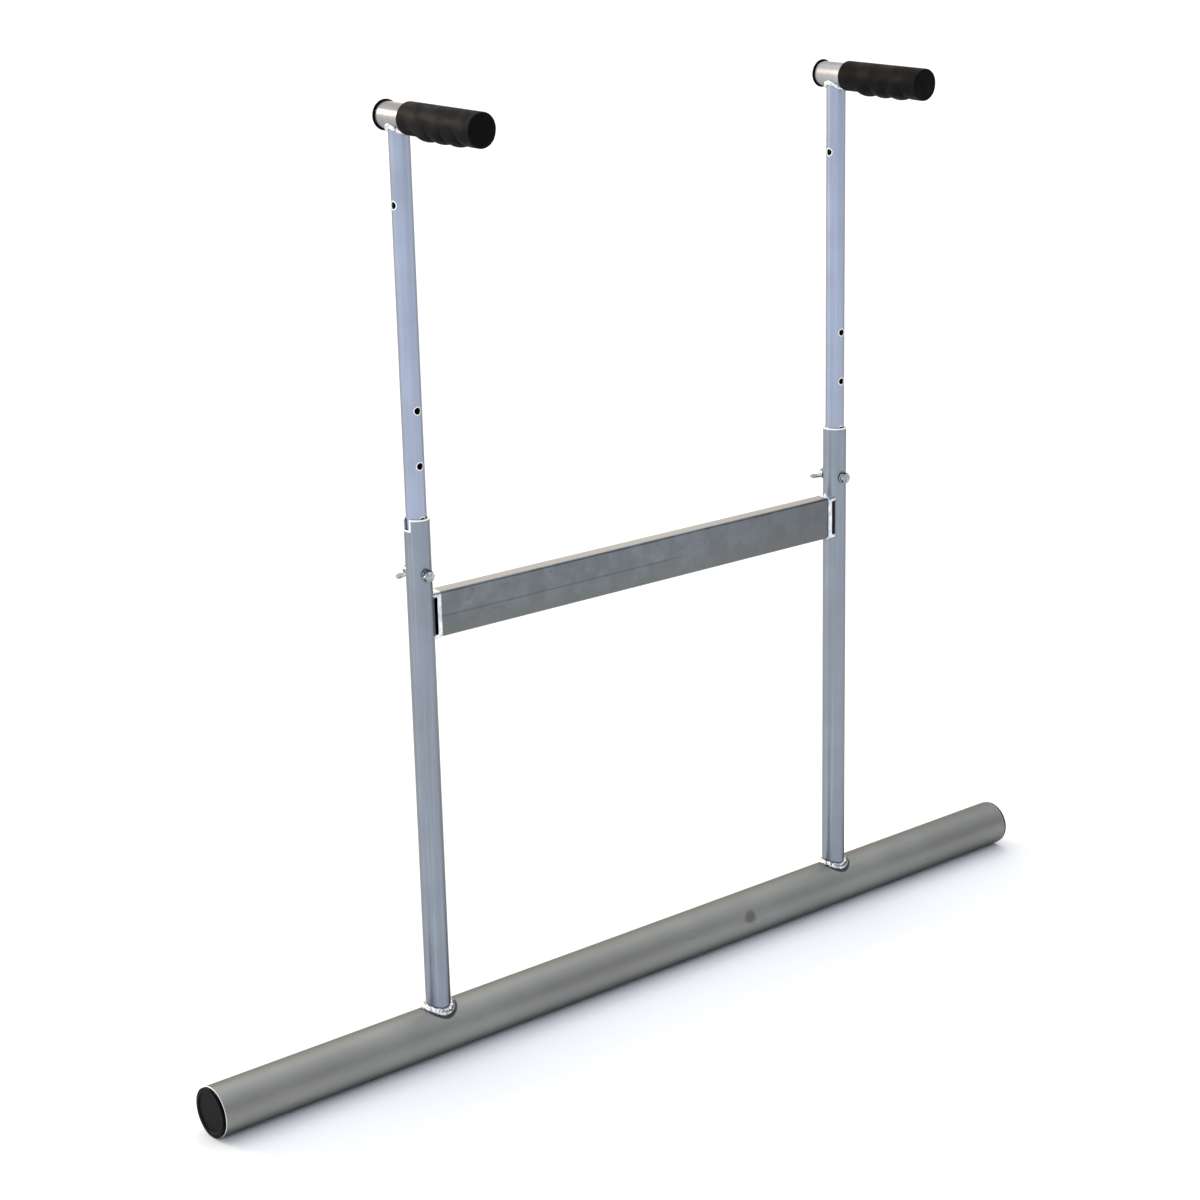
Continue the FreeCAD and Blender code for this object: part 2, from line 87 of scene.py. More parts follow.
def noise(tree, where, size_mm, detail=3.0, roughness=0.5, stretch=(1, 1, 1), turn=(0, 0, 0)):
    """Noise whose lumps are about one size in millimetres, stretched along the axes."""
    mapped = add(tree, "ShaderNodeMapping", None, {"Vector": where, "Scale": stretch, "Rotation": turn})
    inputs = {"Vector": mapped.outputs[0], "Scale": 1000.0 / size_mm, "Detail": detail,
              "Roughness": roughness}
    return add(tree, "ShaderNodeTexNoise", None, inputs).outputs[0]


def mix(tree, amount, first, second):
    """Colour mix by an amount."""
    settings = {"data_type": "RGBA"}
    return add(tree, "ShaderNodeMix", settings, {0: amount, 6: first, 7: second}).outputs[2]


def new_material(name):
    """Empty surface with its shader, its output and its object coordinates."""
    material = bpy.data.materials.new(name)
    material.use_nodes = True
    tree = material.node_tree
    tree.nodes.clear()
    shader = add(tree, "ShaderNodeBsdfPrincipled")
    add(tree, "ShaderNodeOutputMaterial", None, {"Surface": shader.outputs[0]})
    where = add(tree, "ShaderNodeTexCoord").outputs["Object"]
    return material, tree, shader, where


def join_inputs(tree, shader, **sockets):
    """Links or sets the shader's inputs, named with spaces as underscores."""
    for name, value in sockets.items():
        socket = shader.inputs[name.replace("_", " ")]
        if isinstance(value, bpy.types.NodeSocket):
            tree.links.new(value, socket)
        else:
            socket.default_value = value


def bump(tree, height, distance_mm, strength=1.0, normal=None):
    """Surface relief of a height pattern, a few hundredths to tenths of a millimetre deep."""
    inputs = {"Height": height, "Distance": distance_mm * MM, "Strength": strength}
    if normal is not None:
        inputs["Normal"] = normal
    return add(tree, "ShaderNodeBump", None, inputs).outputs[0]


# ---------------------------------------------------------------- sizes read from the frame

base_low, base_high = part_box("base_tube")
base_r = (base_high[2] - base_low[2]) / 2
sleeve_low, sleeve_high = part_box("outer_post_right")
post_x = (sleeve_low[0] + sleeve_high[0]) / 2
sleeve_r = (sleeve_high[0] - sleeve_low[0]) / 2
sleeve_top = sleeve_high[2]
inner_low, inner_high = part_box("inner_post_right")
inner_r = (inner_high[0] - inner_low[0]) / 2
bolt_low, bolt_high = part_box("lock_bolt_right")
lock_z = (bolt_low[2] + bolt_high[2]) / 2
brace_low, brace_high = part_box("cross_brace")
brace_z = (brace_low[2] + brace_high[2]) / 2
brace_half_depth = (brace_high[1] - brace_low[1]) / 2
handle_low, handle_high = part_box("handle_tube_right")
handle_r = (handle_high[0] - handle_low[0]) / 2
HOLE_PITCH = 66.7 * MM
HOLE_R = 4.3 * MM
SLEEVE_WALL = 2.5 * MM
INNER_WALL = 2.1 * MM
NOTCH_WIDTH = 10.5 * MM
NOTCH_DEPTH = 13.0 * MM
CROSS_HOLE_Z = 1.0715
BRACE_GAP_HEIGHT = 48.0 * MM
GRIP_LENGTH = 138.5 * MM
LOBE_PITCH = 28.0 * MM
LOBE_COUNT = 4
RUB_MARK = (0.16, -0.030, 0.040)      # the base tube's one dark rub mark
LOBE_DROP = 4.2 * MM
FRONT_LOBE_DROP = 2.0 * MM            # the lobe at the nose is shallower
NOSE_RADIUS = 3.0 * MM
REAR_RIM_RADIUS = 1.2 * MM
THREAD_PITCH = 1.25 * MM
THREAD_SHOWN = 2.3 * MM               # how far the screw's end stands out behind the wings' hub
THREAD_CORE_R = 3.85 * MM
THREAD_RIDGE = 0.42 * MM
WING_HUB_DEPTH = 8.1 * MM
CAST_GRAIN = 0.3 * MM
END_SLICE = 1.6 * MM                  # how near its end a point counts as part of a tube's end
PATH_STEPS = 240


def post_centre(side):
    """Distance of a side's post from the middle, to the left as a minus."""
    return post_x if side == "right" else -post_x


def end_centres(node):
    """Centres of a handle piece's rear and front ends, from its own vertices."""
    spots = [v.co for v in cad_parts[node].data.vertices]
    rear_y = max(s.y for s in spots)
    front_y = min(s.y for s in spots)
    found = []
    for limit in (rear_y, front_y):
        near = [s for s in spots if abs(s.y - limit) < END_SLICE]
        low = Vector([min(s[i] for s in near) for i in range(3)])
        high = Vector([max(s[i] for s in near) for i in range(3)])
        found.append((low + high) / 2)
    return found


# ---------------------------------------------------------------- finishes

def painted_edge_shade(tree, colour, dark, amount):
    """Painted edge shade: colour mixed towards a dark one where the surface turns away from the eye, darkening
    every silhouette. On flake coats it also stands for their real darkening towards a grazing view; on plated
    edges it is painted shade only. It works on the colour, not on the gloss, so it follows the viewer."""
    facing = add(tree, "ShaderNodeLayerWeight", None, {"Blend": 0.5}).outputs["Facing"]
    return mix(tree, ramp(tree, facing, 0.26, 0.85, 0.0, amount), colour, srgb(dark))


def distance_in_plane(tree, first, second):
    """Length of two offsets at right angles."""
    squares = calc(tree, "ADD", calc(tree, "MULTIPLY", first, first), calc(tree, "MULTIPLY", second, second))
    return calc(tree, "SQRT", squares)


def drilled_rims(tree, xyz, across):
    """Mask of the thin bright rims round the row of lock holes and the cross hole."""
    step = calc(tree, "SUBTRACT", xyz[2], lock_z - HOLE_PITCH / 2)
    step = calc(tree, "SUBTRACT", calc(tree, "FLOORED_MODULO", step, HOLE_PITCH), HOLE_PITCH / 2)
    rim = ramp(tree, distance_in_plane(tree, across, step), HOLE_R + 1.3 * MM, HOLE_R + 0.8 * MM)
    in_row = calc(tree, "LESS_THAN", xyz[2], lock_z + 3.4 * HOLE_PITCH)
    cross_step = calc(tree, "SUBTRACT", xyz[2], CROSS_HOLE_Z)
    cross = ramp(tree, distance_in_plane(tree, xyz[1], cross_step), HOLE_R + 1.6 * MM, HOLE_R + 1.0 * MM)
    return calc(tree, "MAXIMUM", calc(tree, "MULTIPLY", rim, in_row), cross)


def notch_rim_and_highlight(tree, xyz):
    """Mask of the bare cut edge at a sleeve's top and round its outboard notch; painted near white, it is
    partly a painted highlight on those edges.
    """
    edge = ramp(tree, xyz[2], sleeve_top - 2.0 * MM, sleeve_top - 1.3 * MM)
    half_width, foot = NOTCH_WIDTH / 2, sleeve_top - NOTCH_DEPTH
    beside = ramp(tree, calc(tree, "ABSOLUTE", xyz[1]), half_width + 2.2 * MM, half_width + 1.6 * MM)
    above = ramp(tree, xyz[2], foot - 2.4 * MM, foot - 1.7 * MM)
    outboard = calc(tree, "GREATER_THAN", calc(tree, "ABSOLUTE", xyz[0]), post_x)
    notch = calc(tree, "MULTIPLY", calc(tree, "MULTIPLY", beside, above), outboard)
    return calc(tree, "MAXIMUM", edge, notch)


def coated_tube(name, colour, shade, part, bore=0.0, rough=0.34):
    """Silver powder coat over welded steel tube: fine metal flake under a satin skin, a slight orange
    peel, faint handling scuffs, bare bright steel where the tube was cut or drilled after coating (near
    white at a sleeve's top and notch, partly a painted highlight), and painted shade, black, in the bore.
    A sleeve is also darker just above its foot weld and has painted shade, near black, behind the
    brace's open gap."""
    material, tree, shader, where = new_material(name)
    flake = noise(tree, where, 0.9, 2.0)
    cloud = noise(tree, where, 70.0, 2.0)
    tint = mix(tree, ramp(tree, cloud, 0.3, 0.7), srgb(shade), srgb(colour))
    tint = mix(tree, ramp(tree, flake, 0.6, 0.75, 0.0, 0.16), tint, srgb("#C6CCD4"))
    streak = noise(tree, where, 3.0, 2.0, 0.5, (1.0, 1.0, 0.012))
    tint = mix(tree, ramp(tree, streak, 0.5, 0.75, 0.0, 0.16), tint, srgb("#C9D2E2"))
    scuff = noise(tree, where, 5.0, 4.0, 0.65, (1.0, 1.0, 0.12), (0.2, 0.1, 0.0))
    hair = noise(tree, where, 1.4, 2.0, 0.5, (1.0, 1.0, 0.03), (0.35, -0.2, 0.1))
    worn = calc(tree, "MULTIPLY", ramp(tree, scuff, 0.62, 0.74), ramp(tree, hair, 0.52, 0.64))
    tint = mix(tree, calc(tree, "MULTIPLY", worn, 0.35), tint, srgb("#4D5256"))
    # Painted edge shade: the coat's colour darkens towards a grazing view.
    tint = painted_edge_shade(tree, tint, "#22272B", 0.8)
    roughness = calc(tree, "ADD", ramp(tree, cloud, 0.3, 0.7, rough - 0.03, rough + 0.04),
                     calc(tree, "MULTIPLY", worn, 0.15))
    xyz = add(tree, "ShaderNodeSeparateXYZ", None, {0: where}).outputs
    across = calc(tree, "SUBTRACT", calc(tree, "ABSOLUTE", xyz[0]), post_x)
    if part == "sleeve":
        squared = calc(tree, "MULTIPLY", xyz[1], xyz[1])
        saddle = calc(tree, "SQRT", calc(tree, "SUBTRACT", base_r ** 2, squared))
        above_foot = calc(tree, "SUBTRACT", xyz[2], calc(tree, "ADD", saddle, base_r))
        # Darker band on the sleeve just above its foot weld.
        tint = mix(tree, ramp(tree, above_foot, 7.2 * MM, 5.6 * MM, 0.0, 0.85), tint, srgb("#141516"))
        # Bare cut edge at the top and round the notch, painted near white: partly a painted highlight.
        tint = mix(tree, notch_rim_and_highlight(tree, xyz), tint, srgb("#F6F7F8"))
        # Painted shade: near black on the sleeve behind the brace's open gap.
        from_brace = calc(tree, "ABSOLUTE", calc(tree, "SUBTRACT", xyz[2], brace_z))
        sleeve_gap_shade_band = ramp(tree, from_brace, BRACE_GAP_HEIGHT / 2 + 0.5 * MM, BRACE_GAP_HEIGHT / 2 - 0.5 * MM)
        inboard = ramp(tree, across, -11.2 * MM, -11.8 * MM)
        tint = mix(tree, calc(tree, "MULTIPLY", sleeve_gap_shade_band, inboard), tint, srgb("#0B0B0C"))
    if part == "inner":
        tint = mix(tree, drilled_rims(tree, xyz, across), tint, srgb("#EEF0F2"))
    if bore:
        radius = distance_in_plane(tree, across, xyz[1])
        # Painted shade: black inside the bore, for the narrow gap between the tubes lying in shade.
        tint = mix(tree, ramp(tree, radius, bore + 0.5 * MM, bore + 0.15 * MM), tint, srgb("#100F0F"))
    relief = calc(tree, "ADD", noise(tree, where, 2.2, 2.0), calc(tree, "MULTIPLY", flake, 0.25))
    normal = bump(tree, relief, 0.03, 0.4)
    normal = bump(tree, calc(tree, "SUBTRACT", 0.0, worn), 0.03, 0.5, normal)
    join_inputs(tree, shader, Base_Color=tint, Roughness=roughness, Normal=normal, Metallic=0.9,
                Coat_Weight=0.3, Coat_Roughness=0.16)
    return material


def brace_coat():
    """The same silver powder coat on the rectangular brace, laid thin and dull: cloudy grey with pale
    rubbed patches, short dark scuffs, a painted dark reflection line just below the middle of its left
    half, a browner lower half and painted shade darkening its right end."""
    material, tree, shader, where = new_material("silver powder coat, dull brace")
    cloud = noise(tree, where, 26.0, 4.0, 0.55)
    tint = mix(tree, ramp(tree, cloud, 0.35, 0.68), srgb("#5D646A"), srgb("#70787F"))
    pale = ramp(tree, noise(tree, where, 34.0, 5.0, 0.6, (1, 1, 1.4)), 0.6, 0.74, 0.0, 0.22)
    tint = mix(tree, pale, tint, srgb("#A9AFB0"))
    stroke = noise(tree, where, 16.0, 5.0, 0.62, (1.0, 1.0, 1.6), (0.5, 0.2, 0.3))
    tint = mix(tree, ramp(tree, stroke, 0.66, 0.70, 0.0, 0.5), tint, srgb("#3A3F44"))
    xyz = add(tree, "ShaderNodeSeparateXYZ", None, {0: where}).outputs
    line_z = brace_low[2] + 0.46 * (brace_high[2] - brace_low[2])
    # Painted reflection: one long dark line along the face just below its middle, over the left half.
    off_line = calc(tree, "ABSOLUTE", calc(tree, "SUBTRACT", xyz[2], line_z))
    painted_reflection_line = calc(tree, "MULTIPLY", ramp(tree, off_line, 1.4 * MM, 0.3 * MM),
                    ramp(tree, xyz[0], 0.10, 0.02, 0.0, 0.6))
    tint = mix(tree, painted_reflection_line, tint, srgb("#3C3E3B"))
    # Painted shade: the brace darkens towards its right end.
    tint = mix(tree, ramp(tree, xyz[0], 0.0, brace_high[0], 0.0, 0.45), tint, srgb("#3C4248"))
    low_half = ramp(tree, xyz[2], line_z + 6 * MM, brace_low[2], 0.0, 0.5)
    tint = mix(tree, low_half, tint, srgb("#5F6259"))
    flake = noise(tree, where, 0.9, 2.0)
    tint = mix(tree, ramp(tree, flake, 0.6, 0.75, 0.0, 0.14), tint, srgb("#B0B6BA"))
    relief = calc(tree, "ADD", noise(tree, where, 2.4, 2.0), calc(tree, "MULTIPLY", flake, 0.3))
    normal = bump(tree, relief, 0.035, 0.45)
    join_inputs(tree, shader, Base_Color=tint, Normal=normal, Metallic=0.85,
                Roughness=ramp(tree, cloud, 0.3, 0.7, 0.34, 0.46), Coat_Weight=0.8, Coat_Roughness=0.3)
    return material


def base_tube_coat():
    """Satin grey coat on the thick base tube: the same powder, laid heavier, rubbed along its length
    where it has been rolled and slid on hard floors, with one dark rub mark right of the middle,
    darker rings round the foot welds and bare metal at its cut ends."""
    material, tree, shader, where = new_material("satin grey powder coat")
    flake = noise(tree, where, 1.0, 2.0)
    cloud = noise(tree, where, 120.0, 3.0)
    tint = mix(tree, ramp(tree, cloud, 0.3, 0.7), srgb("#8E8E89"), srgb("#9B9B96"))
    tint = mix(tree, ramp(tree, flake, 0.6, 0.76, 0.0, 0.16), tint, srgb("#BDBDB8"))
    long_rub = noise(tree, where, 4.0, 4.0, 0.6, (0.05, 1.0, 1.0))
    patch = noise(tree, where, 60.0, 3.0)
    rubbed = calc(tree, "MULTIPLY", ramp(tree, long_rub, 0.55, 0.72), ramp(tree, patch, 0.5, 0.65))
    tint = mix(tree, calc(tree, "MULTIPLY", rubbed, 0.3), tint, srgb("#55544F"))
    ring_scratch = noise(tree, where, 2.2, 3.0, 0.6, (1.0, 0.06, 0.06), (0, 0, 0.25))
    scratched = calc(tree, "MULTIPLY", ramp(tree, ring_scratch, 0.68, 0.76), ramp(tree, patch, 0.46, 0.62))
    tint = mix(tree, calc(tree, "MULTIPLY", scratched, 0.4), tint, srgb("#C4C4C0"))
    spot = add(tree, "ShaderNodeVectorMath", {"operation": "DISTANCE"}, {0: where, 1: RUB_MARK})
    spot = spot.outputs["Value"]
    ragged = calc(tree, "ADD", spot, calc(tree, "MULTIPLY", noise(tree, where, 7.0, 4.0), 14 * MM))
    tint = mix(tree, ramp(tree, ragged, 20 * MM, 11 * MM, 0.0, 0.55), tint, srgb("#37332F"))
    # Painted edge shade: the coat's colour darkens towards a grazing view, darkest at the tube's underside.
    tint = painted_edge_shade(tree, tint, "#222A2E", 0.85)
    xyz = add(tree, "ShaderNodeSeparateXYZ", None, {0: where}).outputs
    across = calc(tree, "SUBTRACT", calc(tree, "ABSOLUTE", xyz[0]), post_x)
    from_post = distance_in_plane(tree, across, xyz[1])
    # Darker ring round each foot weld, on the top of the tube.
    dark_weld_ring = calc(tree, "MULTIPLY", ramp(tree, from_post, sleeve_r + 8.6 * MM, sleeve_r + 7.0 * MM),
                    calc(tree, "GREATER_THAN", xyz[2], base_r))
    tint = mix(tree, calc(tree, "MULTIPLY", dark_weld_ring, 0.85), tint, srgb("#1A1918"))
    cut_end = ramp(tree, calc(tree, "ABSOLUTE", xyz[0]), base_high[0] - 1.0 * MM, base_high[0] - 0.5 * MM)
    tint = mix(tree, cut_end, tint, srgb("#E6E7E7"))
    roughness = ramp(tree, cloud, 0.3, 0.7, 0.52, 0.58)
    roughness = calc(tree, "ADD", roughness, calc(tree, "MULTIPLY", rubbed, 0.12))
    relief = calc(tree, "ADD", noise(tree, where, 2.6, 2.0), calc(tree, "MULTIPLY", flake, 0.3))
    normal = bump(tree, relief, 0.035, 0.4)
    normal = bump(tree, calc(tree, "SUBTRACT", 0.0, scratched), 0.03, 0.5, normal)
    join_inputs(tree, shader, Base_Color=tint, Roughness=roughness, Normal=normal, Metallic=0.6,
                Coat_Weight=0.1, Coat_Roughness=0.4)
    return material


def weld_metal():
    """Wire-welded steel bead left bright: light grey metal with fine ripples, painted shade darkening the
    valleys between them, thin black lines of flux, and a little straw heat tint."""
    material, tree, shader, where = new_material("bright weld metal")
    grain = noise(tree, where, 0.6, 3.0)
    patch = noise(tree, where, 4.0, 3.0)
    tint = mix(tree, ramp(tree, patch, 0.35, 0.65), srgb("#C9CBCD"), srgb("#F4F5F6"))
    tint = mix(tree, ramp(tree, noise(tree, where, 9.0, 2.0), 0.6, 0.8, 0.0, 0.35), tint, srgb("#B79F7E"))
    # Painted shade: colour darkened in the bead's concave hollows.
    hollow_shade = add(tree, "ShaderNodeNewGeometry").outputs["Pointiness"]
    tint = mix(tree, ramp(tree, hollow_shade, 0.495, 0.44, 0.0, 0.75), tint, srgb("#46474A"))
    from_line = calc(tree, "ABSOLUTE", calc(tree, "SUBTRACT", noise(tree, where, 11.0, 2.0), 0.5))
    tint = mix(tree, ramp(tree, from_line, 0.03, 0.01, 0.0, 0.85), tint, srgb("#1B1B1C"))
    normal = bump(tree, calc(tree, "ADD", grain, noise(tree, where, 1.6, 2.0)), 0.12, 0.7)
    join_inputs(tree, shader, Base_Color=tint, Normal=normal, Metallic=1.0,
                Roughness=ramp(tree, patch, 0.3, 0.7, 0.24, 0.42))
    return material


def burnished_weld():
    """Weld at the brace's ends, ground back and burnished smooth: pale metal with fine grinding lines
    running up it, patches of straw heat tint, painted shade, black, in its open gap and a dull strip by the
    sleeve."""
    material, tree, shader, where = new_material("burnished weld metal")
    lines = noise(tree, where, 0.9, 2.0, 0.5, (1.0, 1.0, 0.08))
    patch = noise(tree, where, 7.0, 3.0)
    tint = mix(tree, ramp(tree, patch, 0.35, 0.65), srgb("#C3CCD5"), srgb("#ECF0F4"))
    tint = mix(tree, ramp(tree, noise(tree, where, 11.0, 2.0), 0.6, 0.8, 0.0, 0.3), tint, srgb("#BFAE92"))
    xyz = add(tree, "ShaderNodeSeparateXYZ", None, {0: where}).outputs
    half_gap = BRACE_GAP_HEIGHT / 2
    depth = calc(tree, "ABSOLUTE", xyz[1])
    depth = ramp(tree, depth, brace_half_depth + 0.9 * MM, brace_half_depth + 0.5 * MM)
    height = calc(tree, "ABSOLUTE", calc(tree, "SUBTRACT", xyz[2], brace_z))
    # Painted shade: black on the recessed faces of the weld's open gap.
    weld_gap_shade = calc(tree, "MULTIPLY", depth, calc(tree, "LESS_THAN", height, half_gap + 0.2 * MM))
    tint = mix(tree, weld_gap_shade, tint, srgb("#0B0B0C"))
    along = calc(tree, "ABSOLUTE", xyz[0])
    by_sleeve = ramp(tree, along, post_x - sleeve_r + 3.4 * MM, post_x - sleeve_r + 4.2 * MM)
    by_sleeve = calc(tree, "MULTIPLY", by_sleeve, ramp(tree, height, half_gap + 2 * MM, half_gap))
    tint = mix(tree, by_sleeve, tint, srgb("#4E565B"))
    normal = bump(tree, lines, 0.04, 0.5)
    join_inputs(tree, shader, Base_Color=tint, Normal=normal, Metallic=1.0,
                Roughness=ramp(tree, lines, 0.3, 0.7, 0.22, 0.34))
    return material


def zinc_plate():
    """Bright zinc plating on turned and cast steel hardware: bluish grey metal with cloudy patches,
    small dull spots and a faint straw tint from the passivation."""
    material, tree, shader, where = new_material("bright zinc plate")
    patch = noise(tree, where, 3.5, 3.0)
    tint = mix(tree, ramp(tree, patch, 0.35, 0.68), srgb("#81898E"), srgb("#BAC2C6"))
    tint = mix(tree, ramp(tree, noise(tree, where, 6.0, 2.0), 0.58, 0.75, 0.0, 0.3), tint, srgb("#A9A085"))
    spot = ramp(tree, noise(tree, where, 0.8, 3.0), 0.68, 0.8, 0.0, 0.5)
    tint = mix(tree, spot, tint, srgb("#50565A"))
    # Painted edge shade: the plating's colour darkens to near black towards a grazing view.
    tint = painted_edge_shade(tree, tint, "#0E1114", 0.9)
    normal = bump(tree, noise(tree, where, 0.7, 3.0), 0.03, 0.4)
    join_inputs(tree, shader, Base_Color=tint, Normal=normal, Metallic=1.0,
                Roughness=ramp(tree, patch, 0.3, 0.7, 0.14, 0.26))
    return material


def cap_plastic():
    """Injection-moulded low-density polyethylene plug: waxy near-black, spark-eroded mould grain and
    pale rub marks from handling."""
    material, tree, shader, where = new_material("moulded black polyethylene")
    grain = noise(tree, where, 0.7, 3.0)
    rub = calc(tree, "MULTIPLY", ramp(tree, noise(tree, where, 12.0, 4.0), 0.52, 0.7),
               ramp(tree, noise(tree, where, 1.2, 3.0, 0.6, (0.2, 1.0, 0.3)), 0.5, 0.66))
    tint = mix(tree, calc(tree, "MULTIPLY", rub, 0.25), srgb("#040404"), srgb("#222222"))
    normal = bump(tree, grain, 0.05, 0.6)
    join_inputs(tree, shader, Base_Color=tint, Normal=normal, IOR=1.45, Specular_IOR_Level=0.06,
                Roughness=ramp(tree, grain, 0.3, 0.7, 0.42, 0.56))
    return material


def grip_vinyl():
    """Moulded soft vinyl: matt charcoal with a fine leathery grain, slightly polished and dusted where
    hands rub it."""
    material, tree, shader, where = new_material("moulded black vinyl")
    cells = add(tree, "ShaderNodeTexVoronoi", {"feature": "DISTANCE_TO_EDGE"},
                {"Vector": where, "Scale": 1000.0 / 1.1, "Randomness": 1.0}).outputs["Distance"]
    grain = ramp(tree, cells, 0.02, 0.22)
    fine = noise(tree, where, 0.45, 3.0)
    handled = ramp(tree, noise(tree, where, 22.0, 4.0), 0.42, 0.66)
    tint = mix(tree, handled, srgb("#050505"), srgb("#0B0B0C"))
    tint = mix(tree, ramp(tree, fine, 0.6, 0.75, 0.0, 0.2), tint, srgb("#191919"))
    relief = calc(tree, "ADD", calc(tree, "MULTIPLY", grain, 0.7), calc(tree, "MULTIPLY", fine, 0.4))
    normal = bump(tree, relief, 0.09, 0.6)
    join_inputs(tree, shader, Base_Color=tint, Normal=normal, IOR=1.45, Specular_IOR_Level=0.08,
                Roughness=ramp(tree, handled, 0.0, 1.0, 0.64, 0.52))
    return material


finishes = {
    "base_tube": base_tube_coat(),
    "outer_post": coated_tube("silver powder coat, sleeve posts", "#8A94A0", "#828B96", "sleeve",
                              bore=sleeve_r - SLEEVE_WALL),
    # Painted reflection: the inner posts get the sleeves' coat in a lighter, bluer colour, for the bright
    # bluish surroundings they reflect.
    "inner_post": coated_tube("silver powder coat, inner posts", "#9FABC2", "#95A0B5", "inner",
                              bore=inner_r - INNER_WALL, rough=0.3),
    "handle_tube": coated_tube("silver powder coat, handle tubes", "#A9AAAD", "#9D9EA2", "handle",
                               rough=0.3),
    "cross_brace": brace_coat(),
    "weld": weld_metal(),
    "burnished": burnished_weld(),
    "zinc": zinc_plate(),
    "cap": cap_plastic(),
    "grip": grip_vinyl(),
}
NODE_FINISH = {
    "base_tube": "base_tube", "outer_post": "outer_post", "inner_post": "inner_post",
    "handle_tube": "handle_tube", "cross_brace": "cross_brace", "post_weld": "weld", "brace_weld": "burnished",
    "handle_weld": "weld", "lock_bolt": "zinc", "lock_washer": "zinc", "wing_screw": "zinc",
    "wing_washer": "zinc", "base_cap": "cap", "handle_cap": "cap", "grip": "grip",
}
for name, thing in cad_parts.items():
    stem = name.removesuffix("_left").removesuffix("_right")
    thing.data.materials.clear()
    thing.data.materials.append(finishes[NODE_FINISH[stem]])


# ---------------------------------------------------------------- making pieces

def finished(mesh, name, body, finish, replaced, smooth_deg=None):
    """Puts a finished mesh on its body in place of its frame node."""
    made = bpy.data.objects.new(name, mesh)
    bpy.context.scene.collection.objects.link(made)
    mesh.materials.clear()
    mesh.materials.append(finishes[finish])
    mesh.shade_smooth()
    if smooth_deg is not None:
        mesh.set_sharp_from_angle(angle=math.radians(smooth_deg))
    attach(made, body)
    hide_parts(replaced)
    return made


def from_tree(source, tree, values, name):
    """Runs a geometry tree on a mesh with its named inputs set, and gives the result as a plain mesh."""
    holder = bpy.data.objects.new("holder", source)
    bpy.context.scene.collection.objects.link(holder)
    worker = holder.modifiers.new("shape", "NODES")
    worker.node_group = tree
    for item in tree.interface.items_tree:
        if item.item_type == "SOCKET" and item.in_out == "INPUT" and item.name in values:
            worker[item.identifier] = values[item.name]
    bpy.context.view_layer.update()
    graph = bpy.context.evaluated_depsgraph_get()
    result = bpy.data.meshes.new_from_object(holder.evaluated_get(graph))
    result.name = name
    holder.modifiers.remove(worker)
    bpy.data.objects.remove(holder)
    return result


def new_tree(name, inputs):
    """Geometry tree with named number inputs and a material input."""
    tree = bpy.data.node_groups.new(name, "GeometryNodeTree")
    tree.interface.new_socket("Geometry", in_out="INPUT", socket_type="NodeSocketGeometry")
    for label, default in inputs.items():
        kind = "NodeSocketInt" if isinstance(default, int) else "NodeSocketFloat"
        socket = tree.interface.new_socket(label, in_out="INPUT", socket_type=kind)
        socket.default_value = default
    tree.interface.new_socket("Material", in_out="INPUT", socket_type="NodeSocketMaterial")
    tree.interface.new_socket("Geometry", in_out="OUTPUT", socket_type="NodeSocketGeometry")
    return tree, add(tree, "NodeGroupInput").outputs


def end_tree(tree, shape, entry):
    """Closes a tree: realizes instances, sets the material and hands the shape out."""
    real = add(tree, "GeometryNodeRealizeInstances", None, {0: shape}).outputs[0]
    painted = add(tree, "GeometryNodeSetMaterial", None, {"Geometry": real, "Material": entry["Material"]})
    add(tree, "NodeGroupOutput", None, {0: painted.outputs[0]})
    return tree


